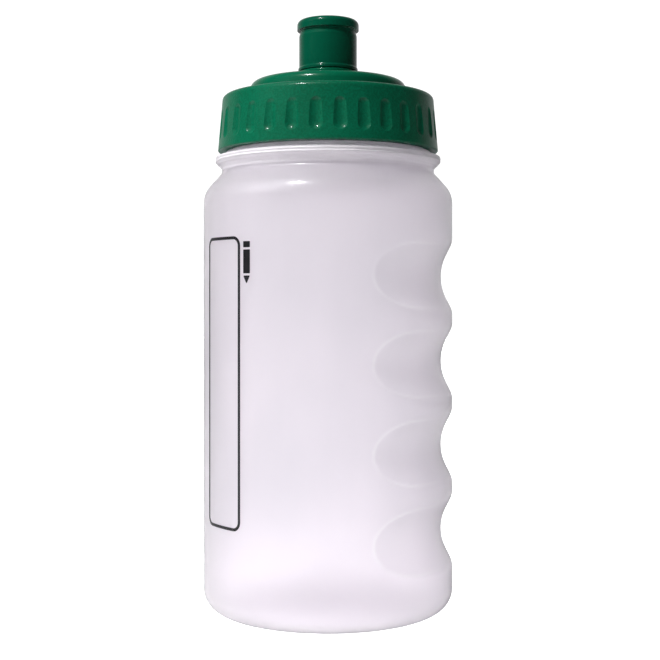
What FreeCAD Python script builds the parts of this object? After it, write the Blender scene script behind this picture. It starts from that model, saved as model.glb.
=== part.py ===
import FreeCAD, Part
import math
import os

from FreeCAD import Vector

# Half-litre sports squeeze bottle with finger grips, a screw lid and a push-pull nozzle.
# Millimetres. The origin is the centre of the base, +Z points up and the finger grips face +X.

UP = Vector(0, 0, 1)
ORIGIN = Vector(0, 0, 0)

# Bottle body, outside
BODY_R = 37.0
BASE_RING_R = 30.4
BASE_RING_INNER_R = 28.4
BASE_RING_ROUND = 0.8
PUSH_UP = 3.2
PUSH_UP_FLAT_R = 21.4
PUSH_UP_ROUND = 12.0
SHOULDER_Z = 123.1
SHOULDER_ROUND = 7.7
WAIST_R = 30.9
WAIST_Z = 129.9
WAIST_ROUND = 1.7
BEAD_R = 33.55
BEAD_LOW_Z = 132.4
BEAD_HIGH_Z = 133.9
BEAD_LOW_ROUND = 0.9
BEAD_HIGH_ROUND = 0.4
COLLAR_R = 30.6
COLLAR_LOW_Z = 134.5
LEDGE_Z = 135.5
LEDGE_ROUND = 0.4
NECK_R = 28.3
MOUTH_Z = 149.2
MOUTH_ROUND = 0.35

# Bottle body, inside
BODY_WALL = 1.1
SHOULDER_WALL = 1.3
BEAD_WALL = 1.2
NECK_WALL = 1.5
THROAT_Z = 133.4
THROAT_ROUND_R = 29.9
INNER_WAIST_ROUND = 2.4
INNER_BEAD_Z = 132.7
INNER_BEAD_ROUND = 0.4

# Finger grips: a round bar pressed into the +X side, bent round the axis and straight at both ends
GRIP_PITCH = 24.8
GRIP_LOWEST_Z = 24.2
GRIP_COUNT = 4
GRIP_FLOOR_R = 33.6
GRIP_BEND_DEG = 45.5
GRIP_SECTION_R = 14.0
GRIP_EDGE_ROUND = 2.5

# Screw thread, shared by the neck and the lid
THREAD_LEAD = 5.0
THREAD_TURNS = 1.25
THREAD_ROOT_WIDTH = 2.2
THREAD_CREST_WIDTH = 1.0
THREAD_HEIGHT = 1.2
THREAD_BURIED = 0.35
NECK_THREAD_Z = 140.2
LID_THREAD_DROP = 2.05
SCREW_CLEARANCE = 0.3

# Lid shell
LID_LOW_Z = 135.7
LID_TOP_Z = 152.2
LID_SKIRT_LOW_R = 32.8
LID_SKIRT_TOP_R = 31.35
LID_SKIRT_LOW_ROUND = 0.4
LID_SKIRT_TOP_ROUND = 1.5
LID_BORE_R = NECK_R + THREAD_HEIGHT + SCREW_CLEARANCE
LID_PLATE = 1.7
LID_CEILING_Z = LID_TOP_Z - LID_PLATE
CROWN_WALL = 1.6
CROWN_LOW_R = 23.7
CROWN_TOP_R = 22.9
CROWN_TOP_Z = 156.5
CROWN_ROUND = 2.6
BOSS_R = 8.95
BOSS_FOOT_Z = 157.9
BOSS_FOOT_ROUND = 0.9
BOSS_Z = 159.7
SMALL_ROUND = 0.3
CORNER_ROUND = 0.45

# Skirt inside the lid that plugs the neck
PLUG_R = NECK_R - NECK_WALL - SCREW_CLEARANCE
PLUG_WALL = 1.1
PLUG_LOW_Z = LID_CEILING_Z - 6.0
PLUG_LEAD_IN = 1.5

# Flutes round the lid's skirt
FLUTE_COUNT = 30
FLUTE_R = 3.3
FLUTE_LEAN_DEG = -2.5
FLUTE_LOW_Z = 137.4
FLUTE_DEPTH = 1.0
FLUTE_LENGTH = 5.4

# Chimney and pin on the lid, which the nozzle slides on
CHIMNEY_R = 6.75
CHIMNEY_BORE_R = 5.4
CHIMNEY_TOP_Z = 171.5
CHIMNEY_BEAD_R = 7.15
CHIMNEY_BEAD_LOW_Z = 167.5
CHIMNEY_BEAD_HIGH_Z = 169.5
PIN_R = 2.42
PIN_LOW_Z = 165.0
PIN_LOW_ROUND = 0.6
PIN_TIP_Z = 175.1
PIN_TIP_ROUND = 0.7
PIN_RIB_COUNT = 3
PIN_RIB_WIDTH = 1.2
PIN_RIB_TOP_Z = 169.5
PIN_RIB_BURIED = 0.4

# Nozzle, pushed down
NOZZLE_R = 8.62
NOZZLE_LOW_Z = 159.8
NOZZLE_TOP_Z = 175.3
NOZZLE_BORE_R = 7.25
NOZZLE_LIP_R = 6.9
NOZZLE_LIP_Z = 161.4
NOZZLE_FOOT_R = 8.9
NOZZLE_FOOT_Z = 160.6
NOZZLE_FOOT_SLOPE = 0.5
NOZZLE_RIM_R = 9.2
NOZZLE_RIM_Z = 172.0
NOZZLE_RIM_ROUND = 1.6
NOZZLE_UNDERCUT = 0.25
NOZZLE_UNDERCUT_HEIGHT = 0.6
NOZZLE_TAPER_HEIGHT = 1.8
NOZZLE_DOME_R = 5.2
NOZZLE_DOME_ROUND = 4.0
NOZZLE_DISH = 0.3
NOZZLE_CEILING_Z = 173.2
DRINK_HOLE_R = 2.5

# Seal ring between the mouth and the lid
SEAL_INNER_R = NECK_R - NECK_WALL
SEAL_OUTER_R = LID_BORE_R - SCREW_CLEARANCE

# Printed write-on panel and the pencil sign beside it
INK = 0.06
PANEL_ANGLE_DEG = -144.3
PANEL_WIDTH = 16.8
PANEL_LOW_Z = 27.2
PANEL_HIGH_Z = 109.4
PANEL_LINE = 0.85
PANEL_CORNER = 2.7
PENCIL_ANGLE_DEG = -127.4
PENCIL_HIGH_Z = 107.9
PENCIL_LENGTH = 11.8
PENCIL_WIDTH = 2.4
PENCIL_RUBBER = 1.7
PENCIL_POINT = 2.3
PENCIL_GAP = 0.6
PENCIL_CORNER = 0.2


def rounded_wire(corners):
    """A closed wire in the XZ plane through (x, z) or (x, z, radius) corners."""
    spots = [Vector(c[0], 0, c[1]) for c in corners]
    radii = [c[2] if len(c) > 2 else 0 for c in corners]
    count = len(spots)
    bends = []
    for i, spot in enumerate(spots):
        if radii[i] == 0:
            bends.append((spot, None, spot))
            continue
        back = (spots[i - 1] - spot).normalize()
        ahead = (spots[(i + 1) % count] - spot).normalize()
        half_angle = back.getAngle(ahead) / 2
        reach = radii[i] / math.tan(half_angle)
        to_arc = radii[i] / math.sin(half_angle) - radii[i]
        middle = spot + (back + ahead).normalize() * to_arc
        bends.append((spot + back * reach, middle, spot + ahead * reach))
    edges = []
    for i, (start, middle, stop) in enumerate(bends):
        if middle is not None:
            edges.append(Part.Arc(start, middle, stop).toShape())
        after = bends[(i + 1) % count][0]
        if stop.distanceToPoint(after) > 1e-6:
            edges.append(Part.LineSegment(stop, after).toShape())
    return Part.Wire(edges)


def revolved(corners):
    """The solid that a profile sweeps round the Z axis."""
    return Part.Face(rounded_wire(corners)).revolve(ORIGIN, UP, 360)


def turned(shape, degrees):
    copy = shape.copy()
    copy.rotate(ORIGIN, UP, degrees)
    return copy


def thread(wall_r, low_z, side):
    """One run of thread, rooted inside the wall. Side is 1 to stand out of it, -1 to stand into a bore."""
    root_r = wall_r - side * THREAD_BURIED
    crest_r = wall_r + side * THREAD_HEIGHT
    half_root = THREAD_ROOT_WIDTH / 2
    half_crest = THREAD_CREST_WIDTH / 2
    helix = Part.makeHelix(THREAD_LEAD, THREAD_LEAD * THREAD_TURNS, wall_r)
    profile = Part.makePolygon(
        [
            Vector(root_r, 0, -half_root),
            Vector(crest_r, 0, -half_crest),
            Vector(crest_r, 0, half_crest),
            Vector(root_r, 0, half_root),
            Vector(root_r, 0, -half_root),
        ]
    )
    run = Part.Wire(helix.Edges).makePipeShell([profile], True, True)
    run.translate(Vector(0, 0, low_z))
    return run


def grip_bars(extra):
    """The bars that press the finger grips, grown by extra for the inside of the wall."""
    bar_r = GRIP_SECTION_R + extra
    path_r = GRIP_FLOOR_R + GRIP_SECTION_R
    bend = Part.makeTorus(path_r, bar_r, ORIGIN, UP, 0, 360, 2 * GRIP_BEND_DEG)
    bend.rotate(ORIGIN, UP, -GRIP_BEND_DEG)
    bend_angle = math.radians(GRIP_BEND_DEG)
    ends = []
    for side in (-1, 1):
        start = Vector(math.cos(bend_angle), side * math.sin(bend_angle), 0) * path_r
        along = Vector(-math.sin(bend_angle), side * math.cos(bend_angle), 0)
        ends.append(Part.makeCylinder(bar_r, 2 * BODY_R, start, along))
    bar = bend.fuse(ends)
    bars = []
    for i in range(GRIP_COUNT):
        copy = bar.copy()
        copy.translate(Vector(0, 0, GRIP_LOWEST_Z + i * GRIP_PITCH))
        bars.append(copy)
    return bars


def grip_edges(solid, radius):
    """The edges where the grips leave a round wall of that radius. They are the slanted ones on it."""
    least_slant = 0.5
    found = []
    for edge in solid.Edges:
        points = edge.discretize(9)
        on_wall = all(abs(math.hypot(p.x, p.y) - radius) < 0.02 for p in points)
        box = edge.BoundBox
        if on_wall and box.ZLength > least_slant and box.XLength > least_slant:
            found.append(edge)
    return found


def gripped(solid, radius, extra, edge_round):
    """A round solid with the finger grips pressed into it and their edges rounded."""
    pressed = solid
    for bar in grip_bars(extra):
        pressed = pressed.cut(bar)
    return pressed.makeFillet(edge_round, grip_edges(pressed, radius))


def body_outside():
    outside = revolved(
        [
            (0, PUSH_UP),
            (PUSH_UP_FLAT_R, PUSH_UP, PUSH_UP_ROUND),
            (BASE_RING_INNER_R, 0, BASE_RING_ROUND),
            (BODY_R, 0, BODY_R - BASE_RING_R),
            (BODY_R, SHOULDER_Z, SHOULDER_ROUND),
            (WAIST_R, WAIST_Z, WAIST_ROUND),
            (BEAD_R, BEAD_LOW_Z, BEAD_LOW_ROUND),
            (BEAD_R, BEAD_HIGH_Z, BEAD_HIGH_ROUND),
            (COLLAR_R, COLLAR_LOW_Z, LEDGE_ROUND),
            (COLLAR_R, LEDGE_Z, LEDGE_ROUND),
            (NECK_R, LEDGE_Z, LEDGE_ROUND),
            (NECK_R, MOUTH_Z, MOUTH_ROUND),
            (0, MOUTH_Z),
        ]
    )
    return gripped(outside, BODY_R, 0, GRIP_EDGE_ROUND)


def body_hollow():
    """What the outside holds inside its wall, open at the mouth."""
    side_r = BODY_R - BODY_WALL
    bead_r = BEAD_R - BEAD_WALL
    throat_r = NECK_R - NECK_WALL
    hollow = revolved(
        [
            (0, PUSH_UP + BODY_WALL),
            (PUSH_UP_FLAT_R + BODY_WALL / 2, PUSH_UP + BODY_WALL, PUSH_UP_ROUND),
            (BASE_RING_INNER_R + BODY_WALL / 2, BODY_WALL, BASE_RING_ROUND),
            (side_r, BODY_WALL, side_r - BASE_RING_R),
            (side_r, SHOULDER_Z - BODY_WALL / 2, SHOULDER_ROUND - BODY_WALL),
            (WAIST_R - SHOULDER_WALL, WAIST_Z, INNER_WAIST_ROUND),
            (bead_r, INNER_BEAD_Z, INNER_BEAD_ROUND),
            (THROAT_ROUND_R, THROAT_Z, INNER_BEAD_ROUND / 2),
            (throat_r, THROAT_Z, LEDGE_ROUND),
            (throat_r, MOUTH_Z + 1),
            (0, MOUTH_Z + 1),
        ]
    )
    return gripped(hollow, side_r, BODY_WALL, GRIP_EDGE_ROUND - BODY_WALL)


def bottle_body():
    """Blow-moulded shell with its threaded neck."""
    shell = body_outside().cut(body_hollow())
    return shell.fuse(thread(NECK_R, NECK_THREAD_Z, 1)).removeSplitter()


def round_ended_bar():
    """A round bar with round ends, turned in one piece about its own length."""
    low = Vector(0, 0, -FLUTE_R)
    high = Vector(0, 0, FLUTE_LENGTH + FLUTE_R)
    side_low = Vector(FLUTE_R, 0, 0)
    side_high = Vector(FLUTE_R, 0, FLUTE_LENGTH)
    slant = FLUTE_R * math.sqrt(0.5)
    arc_low = Part.Arc(low, Vector(slant, 0, -slant), side_low).toShape()
    arc_high = Part.Arc(side_high, Vector(slant, 0, FLUTE_LENGTH + slant), high).toShape()
    side = Part.makeLine(side_low, side_high)
    back = Part.makeLine(high, low)
    half = Part.Face(Part.Wire([arc_low, side, arc_high, back]))
    return half.revolve(ORIGIN, UP, 360)


def flutes():
    """Scoops round the skirt with round ends, a little shallower at the top."""
    scoop = round_ended_bar()
    scoop.rotate(ORIGIN, Vector(0, 1, 0), FLUTE_LEAN_DEG)
    height_share = (FLUTE_LOW_Z - LID_LOW_Z) / (LID_TOP_Z - LID_LOW_Z)
    skirt_r = LID_SKIRT_LOW_R + height_share * (LID_SKIRT_TOP_R - LID_SKIRT_LOW_R)
    scoop.translate(Vector(skirt_r - FLUTE_DEPTH + FLUTE_R, 0, FLUTE_LOW_Z + FLUTE_R))
    step = 360 / FLUTE_COUNT
    return [turned(scoop, i * step) for i in range(FLUTE_COUNT)]


def lid_shell():
    """Skirt, crown, boss, chimney and plug skirt in one profile."""
    plug_inner_r = PLUG_R - PLUG_WALL
    return revolved(
        [
            (LID_BORE_R, LID_LOW_Z, SMALL_ROUND),
            (LID_SKIRT_LOW_R, LID_LOW_Z, LID_SKIRT_LOW_ROUND),
            (LID_SKIRT_TOP_R, LID_TOP_Z, LID_SKIRT_TOP_ROUND),
            (CROWN_LOW_R, LID_TOP_Z, CORNER_ROUND),
            (CROWN_TOP_R, CROWN_TOP_Z, CROWN_ROUND),
            (BOSS_R, BOSS_FOOT_Z, BOSS_FOOT_ROUND),
            (BOSS_R, BOSS_Z, CORNER_ROUND),
            (CHIMNEY_R, BOSS_Z),
            (CHIMNEY_R, CHIMNEY_BEAD_LOW_Z, SMALL_ROUND / 2),
            (CHIMNEY_BEAD_R, CHIMNEY_BEAD_LOW_Z + SMALL_ROUND, SMALL_ROUND / 2),
            (CHIMNEY_BEAD_R, CHIMNEY_BEAD_HIGH_Z, SMALL_ROUND),
            (CHIMNEY_R - SMALL_ROUND, CHIMNEY_TOP_Z, SMALL_ROUND),
            (CHIMNEY_BORE_R, CHIMNEY_TOP_Z, SMALL_ROUND),
            (CHIMNEY_BORE_R, BOSS_FOOT_Z - CROWN_WALL, BOSS_FOOT_ROUND),
            (CROWN_TOP_R - CROWN_WALL, CROWN_TOP_Z - CROWN_WALL, CORNER_ROUND),
            (CROWN_LOW_R - CROWN_WALL, LID_CEILING_Z, CORNER_ROUND),
            (plug_inner_r, LID_CEILING_Z, CORNER_ROUND),
            (plug_inner_r, PLUG_LOW_Z, SMALL_ROUND),
            (PLUG_R - SMALL_ROUND, PLUG_LOW_Z, SMALL_ROUND / 2),
            (PLUG_R, PLUG_LOW_Z + PLUG_LEAD_IN),
            (PLUG_R, LID_CEILING_Z),
            (LID_BORE_R, LID_CEILING_Z),
        ]
    )


def closing_pin():
    """Pin that stops the drinking hole, held in the chimney by ribs."""
    pin = revolved(
        [
            (0, PIN_LOW_Z),
            (PIN_R, PIN_LOW_Z, PIN_LOW_ROUND),
            (PIN_R, PIN_TIP_Z, PIN_TIP_ROUND),
            (0, PIN_TIP_Z),
        ]
    )
    reach = CHIMNEY_BORE_R + PIN_RIB_BURIED
    height = PIN_RIB_TOP_Z - PIN_LOW_Z
    rib = Part.makeBox(reach, PIN_RIB_WIDTH, height, Vector(0, -PIN_RIB_WIDTH / 2, PIN_LOW_Z))
    step = 360 / PIN_RIB_COUNT
    return pin.fuse([turned(rib, i * step) for i in range(PIN_RIB_COUNT)])


def screw_lid():
    """Lid with its fluted skirt, plug skirt, thread, chimney and closing pin."""
    lid = lid_shell()
    for flute in flutes():
        lid = lid.cut(flute)
    run = thread(LID_BORE_R, NECK_THREAD_Z - LID_THREAD_DROP, -1)
    return lid.fuse([run, closing_pin()]).removeSplitter()


def push_pull_nozzle():
    """Nozzle that slides on the chimney. A lip at its foot keeps it from pulling off."""
    undercut_r = NOZZLE_R - NOZZLE_UNDERCUT
    return revolved(
        [
            (NOZZLE_LIP_R, NOZZLE_LOW_Z, SMALL_ROUND),
            (NOZZLE_FOOT_R, NOZZLE_LOW_Z, SMALL_ROUND),
            (NOZZLE_FOOT_R, NOZZLE_FOOT_Z, SMALL_ROUND),
            (NOZZLE_R, NOZZLE_FOOT_Z + NOZZLE_FOOT_SLOPE, CORNER_ROUND),
            (NOZZLE_R, NOZZLE_RIM_Z - NOZZLE_TAPER_HEIGHT, CORNER_ROUND),
            (undercut_r, NOZZLE_RIM_Z - NOZZLE_UNDERCUT_HEIGHT, CORNER_ROUND),
            (undercut_r, NOZZLE_RIM_Z, SMALL_ROUND / 2),
            (NOZZLE_RIM_R, NOZZLE_RIM_Z, SMALL_ROUND / 2),
            (NOZZLE_RIM_R, NOZZLE_TOP_Z - NOZZLE_DISH, NOZZLE_RIM_ROUND),
            (NOZZLE_DOME_R, NOZZLE_TOP_Z, NOZZLE_DOME_ROUND),
            (DRINK_HOLE_R, NOZZLE_TOP_Z - NOZZLE_DISH, SMALL_ROUND),
            (DRINK_HOLE_R, NOZZLE_CEILING_Z, SMALL_ROUND / 2),
            (NOZZLE_BORE_R, NOZZLE_CEILING_Z, CORNER_ROUND),
            (NOZZLE_BORE_R, NOZZLE_LIP_Z, SMALL_ROUND / 2),
            (NOZZLE_LIP_R, NOZZLE_LIP_Z - SMALL_ROUND, SMALL_ROUND / 2),
        ]
    )


def lid_seal_ring():
    """Flat washer in the lid's ceiling, squeezed by the mouth of the bottle."""
    return revolved(
        [
            (SEAL_INNER_R, MOUTH_Z),
            (SEAL_OUTER_R, MOUTH_Z),
            (SEAL_OUTER_R, LID_CEILING_Z),
            (SEAL_INNER_R, LID_CEILING_Z),
        ]
    )


def printed(flat_faces, angle_deg):
    """Solids of ink on the body, from flat faces in the XZ plane, at an angle round the Z axis."""
    outer = Part.makeCylinder(BODY_R + INK, SHOULDER_Z)
    film = outer.cut(Part.makeCylinder(BODY_R, SHOULDER_Z))
    solids = []
    for face in flat_faces:
        block = face.extrude(Vector(0, -2 * BODY_R, 0))
        solids += turned(block, angle_deg + 90).common(film).Solids
    return solids


def panel_outline(inset):
    half = PANEL_WIDTH / 2 - inset
    low = PANEL_LOW_Z + inset
    high = PANEL_HIGH_Z - inset
    corner = PANEL_CORNER - inset
    sides = [(-half, low), (half, low), (half, high), (-half, high)]
    return Part.Face(rounded_wire([(x, z, corner) for x, z in sides]))


def pencil_block(low, high):
    half = PENCIL_WIDTH / 2
    sides = [(-half, low), (half, low), (half, high), (-half, high)]
    return Part.Face(rounded_wire([(x, z, PENCIL_CORNER) for x, z in sides]))


def pencil_sign():
    """A plain pencil with its point down: rubber, shaft and point."""
    half = PENCIL_WIDTH / 2
    tip = PENCIL_HIGH_Z - PENCIL_LENGTH
    point_top = tip + PENCIL_POINT
    rubber_low = PENCIL_HIGH_Z - PENCIL_RUBBER
    point = [
        (-half, point_top, PENCIL_CORNER),
        (half, point_top, PENCIL_CORNER),
        (0, tip, PENCIL_CORNER),
    ]
    return [
        pencil_block(rubber_low, PENCIL_HIGH_Z),
        pencil_block(point_top + PENCIL_GAP, rubber_low - PENCIL_GAP),
        Part.Face(rounded_wire(point)),
    ]


def name_panel_print():
    """Screen-printed frame of the write-on panel, with a pencil sign beside it."""
    frame = panel_outline(0).cut(panel_outline(PANEL_LINE))
    panel = printed([frame], PANEL_ANGLE_DEG)
    pencil = printed(pencil_sign(), PENCIL_ANGLE_DEG)
    return Part.makeCompound(panel + pencil)


PARTS = {
    "bottle_body": bottle_body,
    "screw_lid": screw_lid,
    "push_pull_nozzle": push_pull_nozzle,
    "lid_seal_ring": lid_seal_ring,
    "name_panel_print": name_panel_print,
}


def main():
    os.makedirs("parts", exist_ok=True)
    for name, make in PARTS.items():
        shape = make()
        if not shape.isValid():
            raise ValueError(name + " is not a valid shape")
        shape.exportStep("parts/" + name + ".step")
        print(name, "solids", len(shape.Solids), "volume mm3", round(shape.Volume, 1))


main()
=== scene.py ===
import math

import bmesh
import bpy
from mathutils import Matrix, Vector


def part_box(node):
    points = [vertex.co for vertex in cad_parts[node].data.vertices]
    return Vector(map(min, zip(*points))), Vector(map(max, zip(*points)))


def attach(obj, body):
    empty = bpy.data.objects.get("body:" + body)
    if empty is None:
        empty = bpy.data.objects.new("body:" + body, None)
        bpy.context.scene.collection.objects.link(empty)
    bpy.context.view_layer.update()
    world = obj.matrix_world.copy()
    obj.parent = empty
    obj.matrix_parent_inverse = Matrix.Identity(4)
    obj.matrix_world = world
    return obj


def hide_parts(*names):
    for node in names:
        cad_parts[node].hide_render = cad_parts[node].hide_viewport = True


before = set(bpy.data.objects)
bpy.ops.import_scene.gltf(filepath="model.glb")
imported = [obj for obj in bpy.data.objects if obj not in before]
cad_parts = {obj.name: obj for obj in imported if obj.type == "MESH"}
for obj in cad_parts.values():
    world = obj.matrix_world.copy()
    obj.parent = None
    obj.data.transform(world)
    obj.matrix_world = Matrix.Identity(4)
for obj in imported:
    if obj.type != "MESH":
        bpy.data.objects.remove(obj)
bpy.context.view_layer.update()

# Looks of the sports squeeze bottle. Lengths are metres in the CAD frame: the origin is the centre of
# the base, +Z points up, the finger grips face +X and the viewer stands on the -Y side.

MM = 0.001
TINY = 1e-6

# Sizes read from the frame
BODY_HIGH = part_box("bottle_body")[1]
BODY_R = BODY_HIGH.x
MOUTH_Z = BODY_HIGH.z

# Outline of the body, as in the CAD model
BASE_RING_R = 30.4 * MM
BASE_RING_INNER_R = 28.4 * MM
BASE_RING_ROUND = 0.8 * MM
PUSH_UP = 3.2 * MM
PUSH_UP_FLAT_R = 21.4 * MM
PUSH_UP_ROUND = 12 * MM
SHOULDER_Z = 123.1 * MM
SHOULDER_ROUND = 7.7 * MM
SHOULDER_INNER_ROUND = 6.6 * MM
WAIST_R = 30.9 * MM
WAIST_Z = 129.9 * MM
WAIST_ROUND = 1.7 * MM
WAIST_INNER_R = 29.6 * MM
WAIST_INNER_ROUND = 2.4 * MM
BEAD_R = 33.55 * MM
BEAD_LOW_Z = 132.4 * MM
BEAD_HIGH_Z = 133.9 * MM
BEAD_ROUND = 0.9 * MM
BEAD_INNER_R = 32.35 * MM
BEAD_INNER_Z = 132.7 * MM
COLLAR_R = 30.6 * MM
COLLAR_LOW_Z = 134.5 * MM
LEDGE_Z = 135.5 * MM
THROAT_Z = 133.4 * MM
THROAT_STEP_R = 29.9 * MM
THROAT_STEP_ROUND = 0.2 * MM
NECK_R = 28.3 * MM
MOUTH_ROUND = 0.35 * MM
EDGE_ROUND = 0.4 * MM
WALL = 1.1 * MM
NECK_WALL = 1.5 * MM

# Finger grips. Each is a groove of round section that keeps its distance from the axis up to GRIP_BEND
# on both sides, then runs straight and leaves the wall before GRIP_REACH
GRIP_PITCH = 24.8 * MM
GRIP_LOWEST_Z = 24.2 * MM
GRIP_COUNT = 4
GRIP_FLOOR_R = 33.6 * MM
GRIP_BEND = math.radians(45.5)
GRIP_SECTION_R = 14.0 * MM
GRIP_REACH = math.radians(76)
GRIP_TIP_ROUND = 0.3 * MM
GRIP_RIDGE_ROUND = 2.0 * MM
GRIP_RIDGE_TURN = math.radians(35)
GRIP_TIP_TURN = math.radians(60)
# Painted highlight along each grip's crease: where it starts round the axis, how it fades in, and how
# wide it is
CREASE_HIGHLIGHT_START = math.radians(24)
CREASE_HIGHLIGHT_RAMP = math.radians(22)
CREASE_HIGHLIGHT_HALF_WIDTH = 0.65 * MM
CREASE_HIGHLIGHT_LEAST_SLOPE = 0.1

# Neck thread
THREAD_LEAD = 5.0 * MM
THREAD_TURNS = 1.25
THREAD_LOW_Z = 140.2 * MM
THREAD_HEIGHT = 1.2 * MM
THREAD_HALF_CREST = 0.5 * MM
THREAD_HALF_ROOT = 0.97 * MM
THREAD_RUN_OUT = 0.02

# Moulding marks: fine rings on the bead, the line where the halves of the blow mould met, and the
# ridge under the base where the mould pinched the tube shut
RING_PITCH = 0.83 * MM
RING_DEPTH = 0.15 * MM
RING_TOP_Z = 133.4 * MM
RING_LOW_Z = 130.5 * MM
PARTING_SINK = 0.07 * MM
PARTING_HALF = math.radians(0.45)
PARTING_FADE = math.radians(6)
PINCH_HEIGHT = 0.35 * MM
PINCH_HALF_WIDTH = 1.5 * MM
PINCH_HALF_LENGTH = 19 * MM
PINCH_END = 1 * MM

# Mesh spacing: degrees round the axis up to each angle from the grips, lengths along the outline, and
# radians round its arcs
TURN_STEPS = ((30, 1.25), (73, 0.75), (180, 3.0))
PARTING_TURNS = (0.25, 0.45, 0.9)
OUTER_STEP = 0.6 * MM
BEAD_STEP = 0.16 * MM
INNER_STEP = 1.8 * MM
ARC_STEP = 0.2
LEAST_ARC_STEPS = 3


# ---- meshes ----------------------------------------------------------------------------------------

def rounded_line(corners, step):
    """Points along an open line of (r, z, round) corners, no further apart than step."""
    spots = [Vector(corner[:2]) for corner in corners]
    points = [spots[0]]
    for i in range(1, len(spots) - 1):
        add_corner(points, spots[i - 1:i + 2], corners[i][2], step)
    add_run(points, spots[-1], step)
    return points


def add_corner(points, spots, round_r, step):
    """The straight run up to a rounded corner and the arc round it."""
    before, corner, after = spots
    back = (before - corner).normalized()
    ahead = (after - corner).normalized()
    half = back.angle(ahead) / 2
    start = corner + back * (round_r / math.tan(half))
    centre = corner + (back + ahead).normalized() * (round_r / math.sin(half))
    add_run(points, start, step)
    swing = math.pi - 2 * half
    turn = 1 if back.x * ahead.y - back.y * ahead.x < 0 else -1
    by_length = math.ceil(swing * round_r / spacing(corner.y, step))
    count = max(LEAST_ARC_STEPS, by_length, math.ceil(swing / ARC_STEP))
    arm = start - centre
    for k in range(1, count + 1):
        angle = turn * swing * k / count
        cos = math.cos(angle)
        sin = math.sin(angle)
        points.append(centre + Vector((arm.x * cos - arm.y * sin, arm.x * sin + arm.y * cos)))


def add_run(points, end, step):
    """Evenly spaced points from the last one to the end."""
    start = points[-1]
    length = (end - start).length
    if length < TINY:
        return
    count = math.ceil(length / spacing(end.y, step))
    for k in range(1, count + 1):
        points.append(start.lerp(end, k / count))


def spacing(z, step):
    """The step along an outline, shorter on the ringed bead."""
    return min(step, BEAD_STEP) if WAIST_Z < z < LEDGE_Z else step


def turns_round():
    """Angles round the axis, close together at the grips and at the parting line."""
    half = list(PARTING_TURNS)
    last = PARTING_TURNS[-1]
    for until, step in TURN_STEPS:
        count = round((until - last) / step)
        half += [last + (until - last) * k / count for k in range(1, count + 1)]
        last = until
    half = half[:-1] + [180 - turn for turn in reversed(PARTING_TURNS)]
    turns = [-180] + [-turn for turn in reversed(half)] + [0] + half
    return [math.radians(turn) for turn in turns]


def soft_least(a, b, width):
    """The smaller of two lengths, with the corner between them rounded off over width."""
    near = max(width - abs(a - b), 0) / width
    return min(a, b) - near * near * width / 4


def grip_rise(z, i):
    """A height, measured from the middle of one grip."""
    return z - GRIP_LOWEST_Z - i * GRIP_PITCH


def grip_section(rise, section_r):
    """Distance of a grip's floor from the axis at a height above its middle."""
    return GRIP_FLOOR_R + GRIP_SECTION_R - math.sqrt(section_r**2 - rise**2)


def grip_round(turn):
    """How softly a grip meets the wall: broad ridges in the middle, sharp creases at the tips."""
    share = (abs(turn) - GRIP_RIDGE_TURN) / (GRIP_TIP_TURN - GRIP_RIDGE_TURN)
    share = min(1, max(0, share))
    share = share * share * (3 - 2 * share)
    return GRIP_RIDGE_ROUND + (GRIP_TIP_ROUND - GRIP_RIDGE_ROUND) * share


def grip_radius(turn, z, wall_r, extra):
    """Radius of the wall at an angle and height, with the finger grips pressed in."""
    if abs(turn) > GRIP_REACH:
        return wall_r
    section_r = GRIP_SECTION_R + extra
    past = max(abs(turn) - GRIP_BEND, 0)
    radius = wall_r
    for i in range(GRIP_COUNT):
        rise = grip_rise(z, i)
        if abs(rise) < section_r:
            pressed = grip_section(rise, section_r) / math.cos(past)
            radius = soft_least(radius, pressed, grip_round(turn))
    return radius


def crease_highlight_share(turn, z):
    """Share of painted highlight: 1 on the crease round each grip, fading to 0 on both sides and on
    the soft ridges.
    """
    if abs(turn) > GRIP_REACH:
        return 0
    past = max(abs(turn) - GRIP_BEND, 0)
    nearest = 1
    for i in range(GRIP_COUNT):
        rise = grip_rise(z, i)
        if abs(rise) < GRIP_SECTION_R:
            depth = BODY_R - grip_section(rise, GRIP_SECTION_R) / math.cos(past)
            slope = math.hypot(rise / GRIP_SECTION_R, math.tan(past)) + CREASE_HIGHLIGHT_LEAST_SLOPE
            nearest = min(nearest, abs(depth) / slope / CREASE_HIGHLIGHT_HALF_WIDTH)
    fade = min(1, max(0, abs(turn) - CREASE_HIGHLIGHT_START) / CREASE_HIGHLIGHT_RAMP)
    return (1 - nearest) * fade


def thread_height(turn, z):
    """How far the thread stands out of the neck at an angle and height."""
    highest = 0
    for lap in range(math.ceil(THREAD_TURNS)):
        along = turn % (2 * math.pi) / (2 * math.pi) + lap
        if along > THREAD_TURNS:
            continue
        away = abs(z - THREAD_LOW_Z - along * THREAD_LEAD)
        flank = (THREAD_HALF_ROOT - away) / (THREAD_HALF_ROOT - THREAD_HALF_CREST)
        ends = min(along, THREAD_TURNS - along) / THREAD_RUN_OUT
        highest = max(highest, min(1, flank, ends))
    return THREAD_HEIGHT * highest


def mould_rings(r, z):
    """How far the fine rings sink into the bead at a height."""
    if r < WAIST_R or not RING_LOW_Z < z < BEAD_HIGH_Z:
        return 0
    wave = math.cos(2 * math.pi * (z - RING_TOP_Z) / RING_PITCH)
    return RING_DEPTH * (1 - wave) / 2


def parting_line(turn):
    """How far the wall sinks beside the parting line, which stays at the full radius."""
    away = min(abs(turn), math.pi - abs(turn))
    if away > PARTING_FADE:
        return 0
    if away < PARTING_HALF:
        return PARTING_SINK * (away / PARTING_HALF) ** 2
    share = (away - PARTING_HALF) / (PARTING_FADE - PARTING_HALF)
    return PARTING_SINK * (1 - share) ** 2


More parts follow.
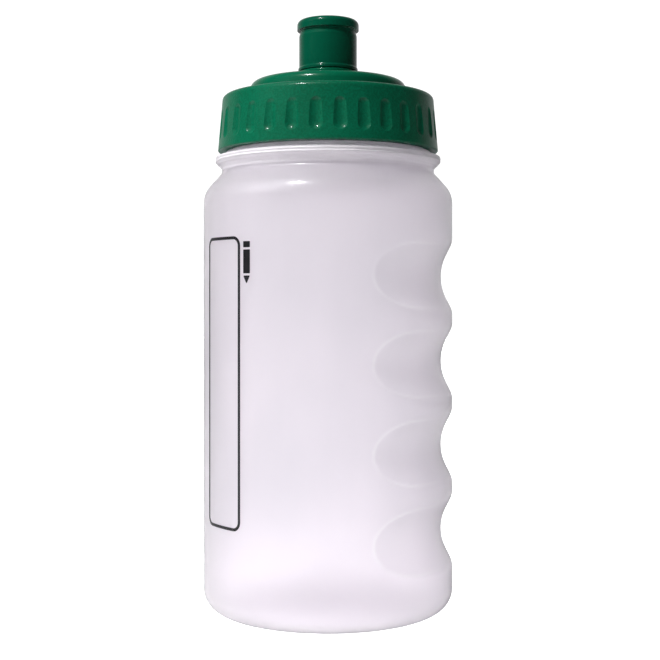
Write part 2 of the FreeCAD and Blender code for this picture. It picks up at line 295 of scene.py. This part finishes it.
def outer_line():
    """From the middle of the base up the outside to the mouth."""
    return rounded_line(
        [
            (0, PUSH_UP, 0),
            (PUSH_UP_FLAT_R, PUSH_UP, PUSH_UP_ROUND),
            (BASE_RING_INNER_R, 0, BASE_RING_ROUND),
            (BODY_R, 0, BODY_R - BASE_RING_R),
            (BODY_R, SHOULDER_Z, SHOULDER_ROUND),
            (WAIST_R, WAIST_Z, WAIST_ROUND),
            (BEAD_R, BEAD_LOW_Z, BEAD_ROUND),
            (BEAD_R, BEAD_HIGH_Z, EDGE_ROUND),
            (COLLAR_R, COLLAR_LOW_Z, EDGE_ROUND),
            (COLLAR_R, LEDGE_Z, EDGE_ROUND),
            (NECK_R, LEDGE_Z, EDGE_ROUND),
            (NECK_R, MOUTH_Z, MOUTH_ROUND),
            (NECK_R - NECK_WALL, MOUTH_Z, 0),
        ],
        OUTER_STEP,
    )


def inner_line():
    """From the mouth down the inside to the middle of the base."""
    side_r = BODY_R - WALL
    throat_r = NECK_R - NECK_WALL
    return rounded_line(
        [
            (throat_r, MOUTH_Z, 0),
            (throat_r, THROAT_Z, EDGE_ROUND),
            (THROAT_STEP_R, THROAT_Z, THROAT_STEP_ROUND),
            (BEAD_INNER_R, BEAD_INNER_Z, EDGE_ROUND),
            (WAIST_INNER_R, WAIST_Z, WAIST_INNER_ROUND),
            (side_r, SHOULDER_Z - WALL / 2, SHOULDER_INNER_ROUND),
            (side_r, WALL, side_r - BASE_RING_R),
            (BASE_RING_INNER_R + WALL / 2, WALL, BASE_RING_ROUND),
            (PUSH_UP_FLAT_R + WALL / 2, PUSH_UP + WALL, PUSH_UP_ROUND),
            (0, PUSH_UP + WALL, 0),
        ],
        INNER_STEP,
    )


def outside_shape(angle, r, z):
    """Radius of the outside at an angle, for a point of its outline."""
    if r > BODY_R - TINY:
        return grip_radius(angle, z, r, 0) - parting_line(angle)
    if z < PUSH_UP + TINY and r < BASE_RING_INNER_R:
        return r
    if abs(r - NECK_R) < TINY:
        return r + thread_height(angle, z)
    return r - mould_rings(r, z) - parting_line(angle)


def inside_shape(angle, r, z):
    """Radius of the inside at an angle, for a point of its outline."""
    if r > BODY_R - WALL - TINY:
        return grip_radius(angle, z, r, WALL)
    return r


def skin(bm, line, angles, shape):
    """Rings of a line turned round the axis. Shape gives each point's radius."""
    rings = []
    for point in line:
        if point.x < TINY:
            rings.append([bm.verts.new((0, 0, point.y))])
            continue
        ring = []
        for angle in angles:
            r = shape(angle, point.x, point.y)
            ring.append(bm.verts.new((r * math.cos(angle), r * math.sin(angle), point.y)))
        rings.append(ring)
    for low, high in zip(rings, rings[1:]):
        bridge(bm, low, high)
    return rings


def bridge(bm, low, high):
    """Faces between two rings, either of which may be a single point."""
    count = max(len(low), len(high))
    for k in range(count):
        after = (k + 1) % count
        if len(low) == 1:
            bm.faces.new((low[0], high[after], high[k]))
        elif len(high) == 1:
            bm.faces.new((low[k], low[after], high[0]))
        else:
            bm.faces.new((low[k], low[after], high[after], high[k]))


def pinch_off(bm):
    """The low ridge under the base."""
    for vert in bm.verts:
        x, y, z = vert.co
        if z > PUSH_UP + TINY or abs(y) > PINCH_HALF_WIDTH or abs(x) > PINCH_HALF_LENGTH:
            continue
        across = 1 - abs(y) / PINCH_HALF_WIDTH
        along = min(1, (PINCH_HALF_LENGTH - abs(x)) / PINCH_END)
        vert.co.z -= PINCH_HEIGHT * across * along


def mark_crease_highlights(made):
    """Keep each vertex's closeness to a grip's crease, which the material paints as a white highlight
    line.
    """
    marks = made.data.attributes.new("crease", "FLOAT", "POINT")
    for vert in made.data.vertices:
        x, y, z = vert.co
        if math.hypot(x, y) > BODY_R - WALL and z < SHOULDER_Z:
            marks.data[vert.index].value = crease_highlight_share(math.atan2(y, x), z)


def mesh_object(name, bm):
    bmesh.ops.recalc_face_normals(bm, faces=bm.faces)
    mesh = bpy.data.meshes.new(name)
    bm.to_mesh(mesh)
    bm.free()
    for face in mesh.polygons:
        face.use_smooth = True
    made = bpy.data.objects.new(name, mesh)
    bpy.context.scene.collection.objects.link(made)
    return made


def make_bottle():
    """The shell of the bottle, with its thread and its moulding marks."""
    bm = bmesh.new()
    angles = turns_round()
    outer = skin(bm, outer_line(), angles, outside_shape)
    inner = skin(bm, inner_line(), angles, inside_shape)
    bridge(bm, outer[-1], inner[0])
    bmesh.ops.remove_doubles(bm, verts=outer[-1] + inner[0], dist=TINY)
    pinch_off(bm)
    made = mesh_object("frosted_bottle", bm)
    mark_crease_highlights(made)
    return made


# ---- nodes -----------------------------------------------------------------------------------------

# Colour sockets of a Mix node, whose names repeat for every kind of value
MIX_FIRST = 6
MIX_SECOND = 7
MIX_RESULT = 2

# Stretches of a noise's range that a spread takes in: the narrower, the stronger the contrast
MOST = (0.2, 0.8)
MIDDLE = (0.3, 0.7)
NARROW = (0.35, 0.65)
NARROWEST = (0.38, 0.62)


def linear(red, green, blue):
    """A colour from its 0 to 255 screen values, by the sRGB curve."""
    def channel(value):
        value /= 255
        return value / 12.92 if value <= 0.04045 else ((value + 0.055) / 1.055) ** 2.4
    return (channel(red), channel(green), channel(blue), 1)


def grey(level):
    return (level, level, level, 1)


def new_material(name):
    material = bpy.data.materials.new(name)
    material.use_nodes = True
    tree = material.node_tree
    return material, tree, tree.nodes["Principled BSDF"]


def feed(tree, socket, value):
    """Link another node's socket to this one, or set a fixed value on it."""
    if isinstance(value, bpy.types.NodeSocket):
        tree.links.new(value, socket)
    else:
        socket.default_value = value


def axes(tree, vector):
    """The X, Y and Z sockets of a vector."""
    parts = tree.nodes.new("ShaderNodeSeparateXYZ")
    tree.links.new(vector, parts.inputs[0])
    return parts.outputs


def object_spot(tree):
    """The spot on the object, in metres."""
    return tree.nodes.new("ShaderNodeTexCoord").outputs["Object"]


def noise(tree, scale, detail=2, stretch=(1, 1, 1)):
    """A soft random pattern, scale times to the metre, which a small stretch draws out on its axis."""
    stretched = tree.nodes.new("ShaderNodeMapping")
    stretched.inputs["Scale"].default_value = stretch
    tree.links.new(object_spot(tree), stretched.inputs["Vector"])
    made = tree.nodes.new("ShaderNodeTexNoise")
    made.inputs["Scale"].default_value = scale
    made.inputs["Detail"].default_value = detail
    tree.links.new(stretched.outputs["Vector"], made.inputs["Vector"])
    return made.outputs["Fac"]


def spread(tree, value, low, high, between=MIDDLE):
    """A value carried from between two limits to low and high."""
    made = tree.nodes.new("ShaderNodeMapRange")
    made.inputs["From Min"].default_value = between[0]
    made.inputs["From Max"].default_value = between[1]
    made.inputs["To Min"].default_value = low
    made.inputs["To Max"].default_value = high
    tree.links.new(value, made.inputs["Value"])
    return made.outputs[0]


def mix_colours(tree, share, first, second):
    """The first colour where share is 0, the second where it is 1."""
    made = tree.nodes.new("ShaderNodeMix")
    made.data_type = "RGBA"
    tree.links.new(share, made.inputs["Factor"])
    feed(tree, made.inputs[MIX_FIRST], first)
    feed(tree, made.inputs[MIX_SECOND], second)
    return made.outputs[MIX_RESULT]


def combine(tree, operation, first, second):
    made = tree.nodes.new("ShaderNodeMath")
    made.operation = operation
    feed(tree, made.inputs[0], first)
    feed(tree, made.inputs[1], second)
    return made.outputs[0]


def add_bump(tree, shader, height, depth):
    bump = tree.nodes.new("ShaderNodeBump")
    bump.inputs["Distance"].default_value = depth
    tree.links.new(height, bump.inputs["Height"])
    tree.links.new(bump.outputs["Normal"], shader.inputs["Normal"])


# ---- materials -------------------------------------------------------------------------------------

# Frosted body. BODY_CLEAR and NECK_CLEAR are the shares of light that go through the plastic
BODY_CLEAR = 0.9
NECK_CLEAR = 0.45
BODY_IOR = 1.33
BODY_ROUGH = (0.36, 0.46)
BODY_GLOSS = 0.3
BODY_GLOSS_ROUGH = 0.17
BODY_THIN = linear(231, 228, 233)
BODY_MILKY = linear(239, 235, 240)
# Painted light: the wall is painted lighter towards the base, standing in for floor light coming up
# through it
FLOOR_LIGHT_WHITE = linear(247, 243, 248)
FLOOR_LIGHT_FULL_Z = 14 * MM
FLOOR_LIGHT_END_Z = 32 * MM
NECK_THIN = linear(246, 242, 248)
NECK_MILKY = linear(252, 248, 253)
STREAK_SCALE = 60
STREAK_STRETCH = (1, 1, 0.22)
BODY_CLOUD_SCALE = 28
FROST_SCALE = 1300
FROST_HEIGHT = 0.12
FLOW_SCALE = 90
FLOW_STRETCH = (1, 1, 0.5)
FROST_DEPTH = 0.12 * MM
# Painted highlight: white lines along the grip creases, fainter and stronger in stretches
CREASE_HIGHLIGHT_COLOUR = linear(255, 255, 255)
CREASE_HIGHLIGHT_PATCH_SCALE = 75
CREASE_HIGHLIGHT_FAINTEST = 0.25

# Green lid and nozzle
LID_GREENS = (linear(0, 79, 54), linear(0, 91, 64))
LID_ROUGH = 0.24
NOZZLE_GREENS = (linear(0, 67, 48), linear(0, 75, 54))
NOZZLE_ROUGH = 0.2
GREEN_ROUGH_SPREAD = 0.06
GREEN_SHINE = 0.1
GREEN_GLOSS = 0.28
GREEN_GLOSS_ROUGH = 0.13
GREEN_CLOUD_SCALE = 70
WAVE_SCALE = 160
WAVE_HEIGHT = 0.35
CROWN_R = 23.9 * MM
CROWN_FADE = 1 * MM
GRAIN_SCALE = 1900
GRAIN_SPECKS = 0.5
GRAIN_DEPTH = 0.09 * MM
GRAIN_MATT = 0.16

# Printed ink and the seal's foam
INKS = (linear(3, 2, 6), linear(15, 13, 21))
INK_ROUGH = (0.35, 0.55)
INK_THIN_SCALE = 420
INK_GRAIN_SCALE = 1500
INK_DEPTH = 0.02 * MM
FOAMS = (linear(214, 214, 208), linear(236, 236, 230))
FOAM_ROUGH = (0.55, 0.75)
FOAM_CELL_SCALE = 1100
FOAM_DEPTH = 0.05 * MM


def cloudiness(tree):
    """Flow streaks up the wall and broad clouds, in equal shares."""
    streaks = noise(tree, STREAK_SCALE, 3, STREAK_STRETCH)
    clouds = noise(tree, BODY_CLOUD_SCALE)
    return combine(tree, "MULTIPLY", combine(tree, "ADD", streaks, clouds), 0.5)


def painted_crease_highlight(tree):
    """The painted highlight line round each grip's crease, broken into fainter and stronger stretches.
    """
    crease = tree.nodes.new("ShaderNodeAttribute")
    crease.attribute_name = "crease"
    uneven = spread(tree, noise(tree, CREASE_HIGHLIGHT_PATCH_SCALE, 1), CREASE_HIGHLIGHT_FAINTEST, 1)
    return combine(tree, "MULTIPLY", crease.outputs["Fac"], uneven)


def frosted_plastic(name, clear, thin, milky):
    """Milky squeeze-bottle polyethylene, painted lighter near the base for floor light, with painted
    highlight lines along the grip creases and a fine frosted grain.
    """
    material, tree, shader = new_material(name)
    cloudy = cloudiness(tree)
    colour = mix_colours(tree, spread(tree, cloudy, 0, 1, NARROWEST), thin, milky)
    # Painted light from the floor: lighter towards the base
    low = spread(tree, axes(tree, object_spot(tree))["Z"], 1, 0, (FLOOR_LIGHT_FULL_Z, FLOOR_LIGHT_END_Z))
    colour = mix_colours(tree, low, colour, FLOOR_LIGHT_WHITE)
    # Painted highlight: white lines along the grip creases
    colour = mix_colours(tree, painted_crease_highlight(tree), colour, CREASE_HIGHLIGHT_COLOUR)
    tree.links.new(colour, shader.inputs["Base Color"])
    tree.links.new(spread(tree, cloudy, *BODY_ROUGH), shader.inputs["Roughness"])
    frost = combine(tree, "MULTIPLY", noise(tree, FROST_SCALE), FROST_HEIGHT)
    height = combine(tree, "ADD", frost, noise(tree, FLOW_SCALE, 2, FLOW_STRETCH))
    add_bump(tree, shader, height, FROST_DEPTH)
    shader.inputs["Transmission Weight"].default_value = clear
    shader.inputs["IOR"].default_value = BODY_IOR
    shader.inputs["Coat Weight"].default_value = BODY_GLOSS
    shader.inputs["Coat Roughness"].default_value = BODY_GLOSS_ROUGH
    return material


def green_plastic(name, greens, rough, textured):
    """Moulded green polyethylene. Textured parts have a spark-eroded grain outside the crown."""
    material, tree, shader = new_material(name)
    clouds = noise(tree, GREEN_CLOUD_SCALE, 3)
    share = spread(tree, clouds, 0, 1, MOST)
    height = combine(tree, "MULTIPLY", noise(tree, WAVE_SCALE), WAVE_HEIGHT)
    matt = spread(tree, clouds, rough, rough + GREEN_ROUGH_SPREAD)
    if textured:
        mask = outside_crown(tree)
        grain = noise(tree, GRAIN_SCALE, 1)
        specks = spread(tree, grain, -GRAIN_SPECKS, GRAIN_SPECKS, NARROW)
        share = combine(tree, "ADD", share, combine(tree, "MULTIPLY", specks, mask))
        height = combine(tree, "ADD", height, combine(tree, "MULTIPLY", grain, mask))
        matt = combine(tree, "ADD", matt, combine(tree, "MULTIPLY", mask, GRAIN_MATT))
    tree.links.new(mix_colours(tree, share, *greens), shader.inputs["Base Color"])
    tree.links.new(matt, shader.inputs["Roughness"])
    add_bump(tree, shader, height, GRAIN_DEPTH)
    shader.inputs["Specular IOR Level"].default_value = GREEN_SHINE
    shader.inputs["Coat Weight"].default_value = GREEN_GLOSS
    shader.inputs["Coat Roughness"].default_value = GREEN_GLOSS_ROUGH
    return material


def outside_crown(tree):
    """1 on the skirt and the top land, fading to 0 on the smooth crown."""
    spot = axes(tree, object_spot(tree))
    across = combine(tree, "POWER", spot["X"], 2)
    deep = combine(tree, "POWER", spot["Y"], 2)
    radius = combine(tree, "POWER", combine(tree, "ADD", across, deep), 0.5)
    return spread(tree, radius, 0, 1, (CROWN_R, CROWN_R + CROWN_FADE))


def black_ink():
    """Screen-printed ink: nearly black, a little thin and uneven where the screen's mesh lay."""
    material, tree, shader = new_material("black_ink")
    thin = noise(tree, INK_THIN_SCALE, 3)
    colour = mix_colours(tree, spread(tree, thin, 0, 1), *INKS)
    tree.links.new(colour, shader.inputs["Base Color"])
    tree.links.new(spread(tree, thin, *INK_ROUGH), shader.inputs["Roughness"])
    add_bump(tree, shader, noise(tree, INK_GRAIN_SCALE, 1), INK_DEPTH)
    return material


def seal_foam():
    """The pale pressed seal under the lid."""
    material, tree, shader = new_material("seal_foam")
    cells = noise(tree, FOAM_CELL_SCALE)
    tree.links.new(mix_colours(tree, cells, *FOAMS), shader.inputs["Base Color"])
    tree.links.new(spread(tree, cells, *FOAM_ROUGH), shader.inputs["Roughness"])
    add_bump(tree, shader, cells, FOAM_DEPTH)
    return material


def dress(node, material):
    """Put a material on a CAD node."""
    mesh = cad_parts[node].data
    mesh.materials.clear()
    mesh.materials.append(material)


# ---- studio ----------------------------------------------------------------------------------------

CAMERA_AWAY = 0.380
CAMERA_UP = 0.0909
CAMERA_LENS = 69.31
CAMERA_SENSOR = 36
CAMERA_SHIFT_X = 0.003
CAMERA_SHIFT_Y = -0.0414
CAMERA_NEAREST = 0.01
AIM = Vector((0, 0, 0.1))
SIDE_TURN = math.radians(-70)
SIDE_RISE = math.radians(38)
SIDE_AWAY = 1.0
SIDE_SIZE = 0.75
SIDE_POWER = 9.5
SPARK_TURN = math.radians(-38)
SPARK_RISE = math.radians(55)
SPARK_AWAY = 1.1
SPARK_SIZE = 0.11
SPARK_POWER = 10
FLOOR_HALF = 3
FLOOR_BOUNCE = 0.7
FLOOR_SHADE = 0.15
FLOOR_GLOW = 1.44
ROOM_LIGHT = 0.06
BACKDROP_LIGHT = 1.12
BACKDROP_BOUNCE = 0.65
BACKDROP_EDGE = (0.3, 0.9)


def add_camera():
    """Level with the upper part of the wall, straight in front of the bottle."""
    data = bpy.data.cameras.new("camera")
    data.lens = CAMERA_LENS
    data.sensor_width = CAMERA_SENSOR
    data.shift_x = CAMERA_SHIFT_X
    data.shift_y = CAMERA_SHIFT_Y
    data.clip_start = CAMERA_NEAREST
    camera = bpy.data.objects.new("camera", data)
    bpy.context.scene.collection.objects.link(camera)
    camera.location = (0, -CAMERA_AWAY, CAMERA_UP)
    camera.rotation_euler = (math.radians(90), 0, 0)
    bpy.context.scene.camera = camera


def add_lamp(name, turn, rise, away, size, power, mirrored):
    """A round lamp aimed at the bottle. Turn 0 is straight in front and grows towards the grips."""
    data = bpy.data.lights.new(name, "AREA")
    data.shape = "DISK"
    data.size = size
    data.energy = power
    lamp = bpy.data.objects.new(name, data)
    bpy.context.scene.collection.objects.link(lamp)
    flat = math.cos(rise)
    way = Vector((flat * math.sin(turn), -flat * math.cos(turn), math.sin(rise)))
    lamp.location = AIM + way * away
    lamp.rotation_euler = (-way).to_track_quat("-Z", "Y").to_euler()
    lamp.visible_glossy = mirrored


def seen_directly(tree):
    """1 for rays from the camera or through the plastic, 0 for rays that light the object."""
    path = tree.nodes.new("ShaderNodeLightPath")
    return combine(tree, "MAXIMUM", path.outputs["Is Camera Ray"], path.outputs["Is Transmission Ray"])


def floor_paper():
    """White paper that glows where it is seen directly and throws a softer light on the object."""
    material = bpy.data.materials.new("floor_paper")
    material.use_nodes = True
    tree = material.node_tree
    tree.nodes.clear()
    bounce = tree.nodes.new("ShaderNodeBsdfDiffuse")
    bounce.inputs["Color"].default_value = grey(FLOOR_BOUNCE)
    shade = tree.nodes.new("ShaderNodeBsdfDiffuse")
    shade.inputs["Color"].default_value = grey(FLOOR_SHADE)
    glow = tree.nodes.new("ShaderNodeEmission")
    glow.inputs["Strength"].default_value = FLOOR_GLOW
    seen = tree.nodes.new("ShaderNodeAddShader")
    tree.links.new(shade.outputs[0], seen.inputs[0])
    tree.links.new(glow.outputs[0], seen.inputs[1])
    mix = tree.nodes.new("ShaderNodeMixShader")
    tree.links.new(seen_directly(tree), mix.inputs[0])
    tree.links.new(bounce.outputs[0], mix.inputs[1])
    tree.links.new(seen.outputs[0], mix.inputs[2])
    output = tree.nodes.new("ShaderNodeOutputMaterial")
    tree.links.new(mix.outputs[0], output.inputs["Surface"])
    return material


def add_floor():
    bm = bmesh.new()
    corners = [(-1, -1), (1, -1), (1, 1), (-1, 1)]
    bm.faces.new([bm.verts.new((x * FLOOR_HALF, y * FLOOR_HALF, 0)) for x, y in corners])
    floor = mesh_object("studio_floor", bm)
    floor.data.materials.append(floor_paper())


def add_world():
    """A dim room with a white backdrop behind the bottle, all white where it is seen directly."""
    world = bpy.data.worlds.new("studio")
    bpy.context.scene.world = world
    world.use_nodes = True
    tree = world.node_tree
    way = tree.nodes.new("ShaderNodeTexCoord").outputs["Generated"]
    room = spread(tree, axes(tree, way)["Y"], ROOM_LIGHT, BACKDROP_BOUNCE, BACKDROP_EDGE)
    strength = tree.nodes.new("ShaderNodeMix")
    strength.inputs["B"].default_value = BACKDROP_LIGHT
    tree.links.new(room, strength.inputs["A"])
    tree.links.new(seen_directly(tree), strength.inputs["Factor"])
    background = tree.nodes["Background"]
    background.inputs["Color"].default_value = grey(1)
    tree.links.new(strength.outputs["Result"], background.inputs["Strength"])


# ---- scene -----------------------------------------------------------------------------------------

bottle = make_bottle()
wall_plastic = frosted_plastic("frosted_polyethylene", BODY_CLEAR, BODY_THIN, BODY_MILKY)
neck_plastic = frosted_plastic("frosted_polyethylene_thick", NECK_CLEAR, NECK_THIN, NECK_MILKY)
bottle.data.materials.append(wall_plastic)
bottle.data.materials.append(neck_plastic)
for face in bottle.data.polygons:
    if face.center.z > WAIST_Z:
        face.material_index = 1
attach(bottle, "bottle")
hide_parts("bottle_body")

dress("screw_lid", green_plastic("green_lid", LID_GREENS, LID_ROUGH, True))
dress("push_pull_nozzle", green_plastic("green_nozzle", NOZZLE_GREENS, NOZZLE_ROUGH, False))
dress("lid_seal_ring", seal_foam())
dress("name_panel_print", black_ink())

add_floor()
add_world()
add_lamp("side_softbox", SIDE_TURN, SIDE_RISE, SIDE_AWAY, SIDE_SIZE, SIDE_POWER, False)
add_lamp("spark", SPARK_TURN, SPARK_RISE, SPARK_AWAY, SPARK_SIZE, SPARK_POWER, True)
add_camera()
bpy.context.scene.view_settings.view_transform = "Standard"
